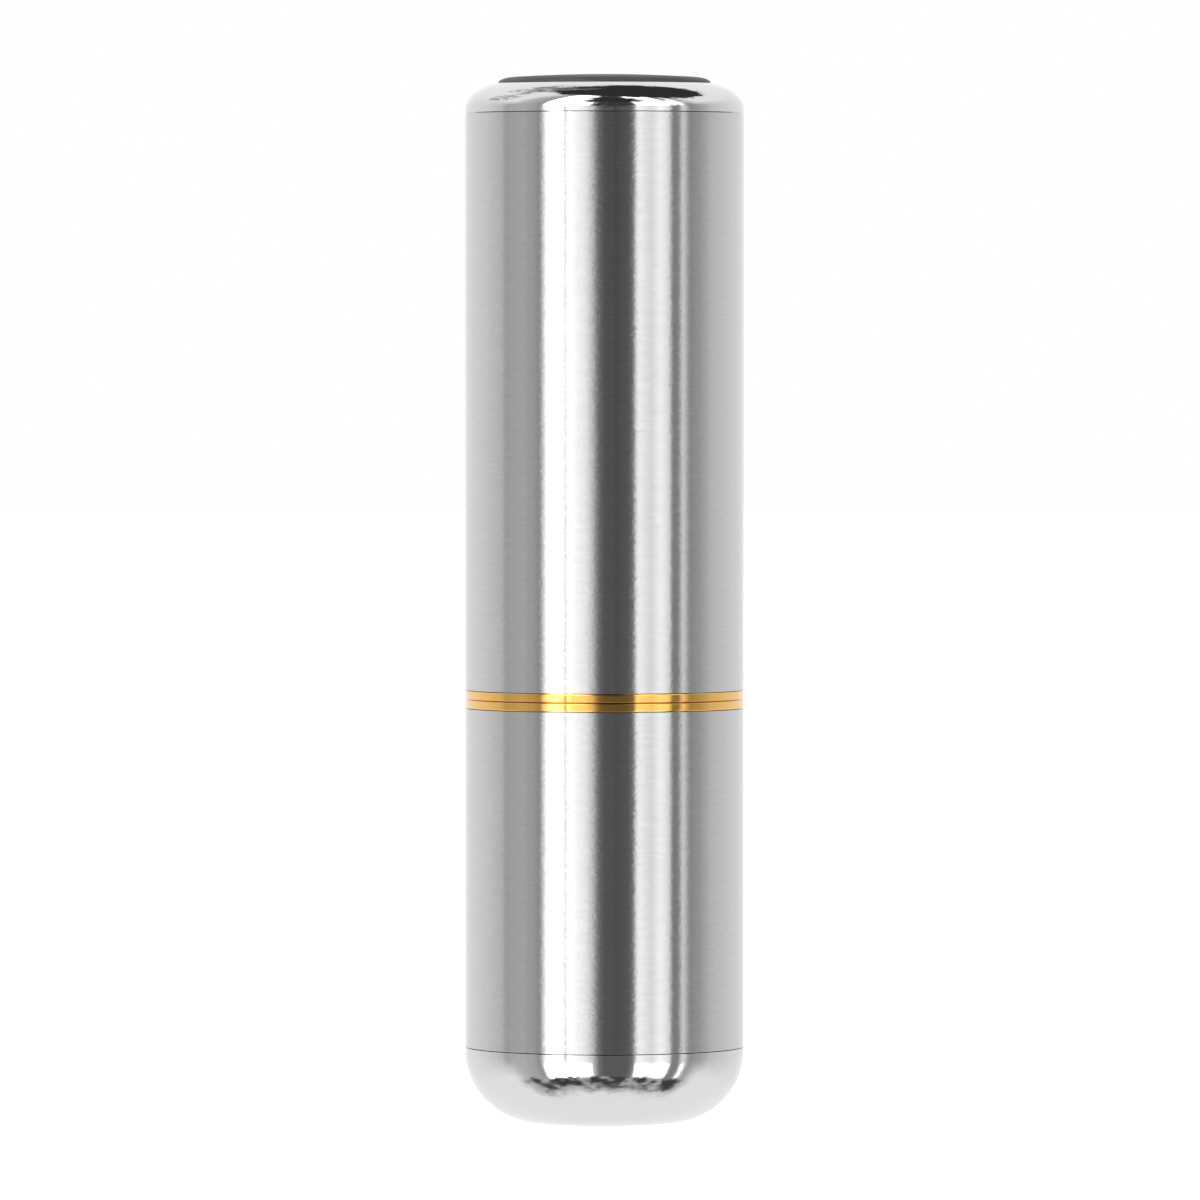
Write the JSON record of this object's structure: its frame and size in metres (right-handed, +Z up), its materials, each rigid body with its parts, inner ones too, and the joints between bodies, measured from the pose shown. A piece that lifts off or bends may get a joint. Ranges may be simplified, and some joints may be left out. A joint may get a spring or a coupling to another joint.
{
  "type": "pocket massager",
  "caption": "Slim round metal case in two halves screwed together at a gold ring, with a domed tip, a push button in the top end, and a motor and cell inside.",
  "frame": {"origin": "centre of the small flat that the case stands on", "axes": "+Z up the case's axis, from the domed tip to the button"},
  "size_m": [0.022, 0.022, 0.0826],
  "materials": {
    "brushed_metal": "circumferential brushing",
    "polished_metal": "polished",
    "gold_ring": "polished gold anodising",
    "black_rubber": "matt",
    "black_plastic": "moulded",
    "white_plastic": "moulded",
    "turned_metal": "turned and threaded",
    "plated_steel": "nickel plated",
    "cell_wrap": "printed wrap with no wording",
    "board_green": "solder mask",
    "copper": "enamelled copper",
    "bronze": "sintered bronze",
    "magnet": "ferrite",
    "heavy_metal": "sintered",
    "lead_sheath": "wire insulation",
    "gold_contact": "gold flash",
    "part_ceramic": "ceramic chip"
  },
  "bodies": {
    "lower_case": {"tip_cap": "polished_metal", "tip_seal": "black_rubber", "lower_sleeve": "brushed_metal", "motor_holder": "white_plastic", "motor_can": "plated_steel", "motor_front_bush": "bronze", "motor_rear_bush": "bronze", "motor_magnets": "magnet", "motor_end_cap": "black_plastic", "motor_brushes": "copper", "motor_tabs": "plated_steel", "motor_leads": "lead_sheath", "contact_board": "board_green", "ground_ring": "plated_steel", "contact_pad": "gold_contact", "threaded_coupler": "turned_metal", "neck_seal": "black_rubber", "cell_cradle": "white_plastic", "cell_can": "plated_steel", "cell_label": "cell_wrap", "cell_seal": "black_plastic", "cell_end_disc": "plated_steel"},
    "rotor": {"motor_shaft": "plated_steel", "rotor_core": "plated_steel", "rotor_windings": "copper", "commutator": "copper", "eccentric_weight": "heavy_metal"},
    "ring": {"accent_ring": "gold_ring"},
    "upper_case": {"upper_sleeve": "brushed_metal", "thread_insert": "turned_metal", "top_cap": "polished_metal", "top_seal": "black_rubber", "retaining_ring": "black_plastic", "control_board": "board_green", "control_chip": "black_plastic", "board_parts": "part_ceramic", "switch_body": "black_plastic", "switch_cover": "plated_steel", "contact_spring": "plated_steel", "return_spring": "plated_steel"},
    "button": {"button_cap": "black_rubber", "button_core": "black_plastic", "button_seal": "black_rubber", "switch_stem": "black_plastic"}
  },
  "joints": [
    {"name": "unscrew", "type": "hinge", "parent": "lower_case", "child": "ring", "pos_m": [0, 0, 0.0334], "axis": [0, 0, 1], "range_deg": [0, 1170]},
    {"name": "unscrew_rise", "type": "slide", "parent": "ring", "child": "upper_case", "axis": [0, 0, 1], "range_m": [0, 0.03905]},
    {"name": "button_press", "type": "slide", "parent": "upper_case", "child": "button", "axis": [0, 0, -1], "range_m": [0, 0.0007], "stiffness_N_per_m": 600, "springref_m": -0.002, "deforming": ["return_spring"]},
    {"name": "motor_spin", "type": "hinge", "parent": "lower_case", "child": "rotor", "pos_m": [0, 0, 0.0124], "axis": [0, 0, 1], "continuous": true}
  ],
  "couplings": [
    {"joint": "unscrew_rise", "follows": "unscrew", "m_per_rad": 0.0019099}
  ]
}
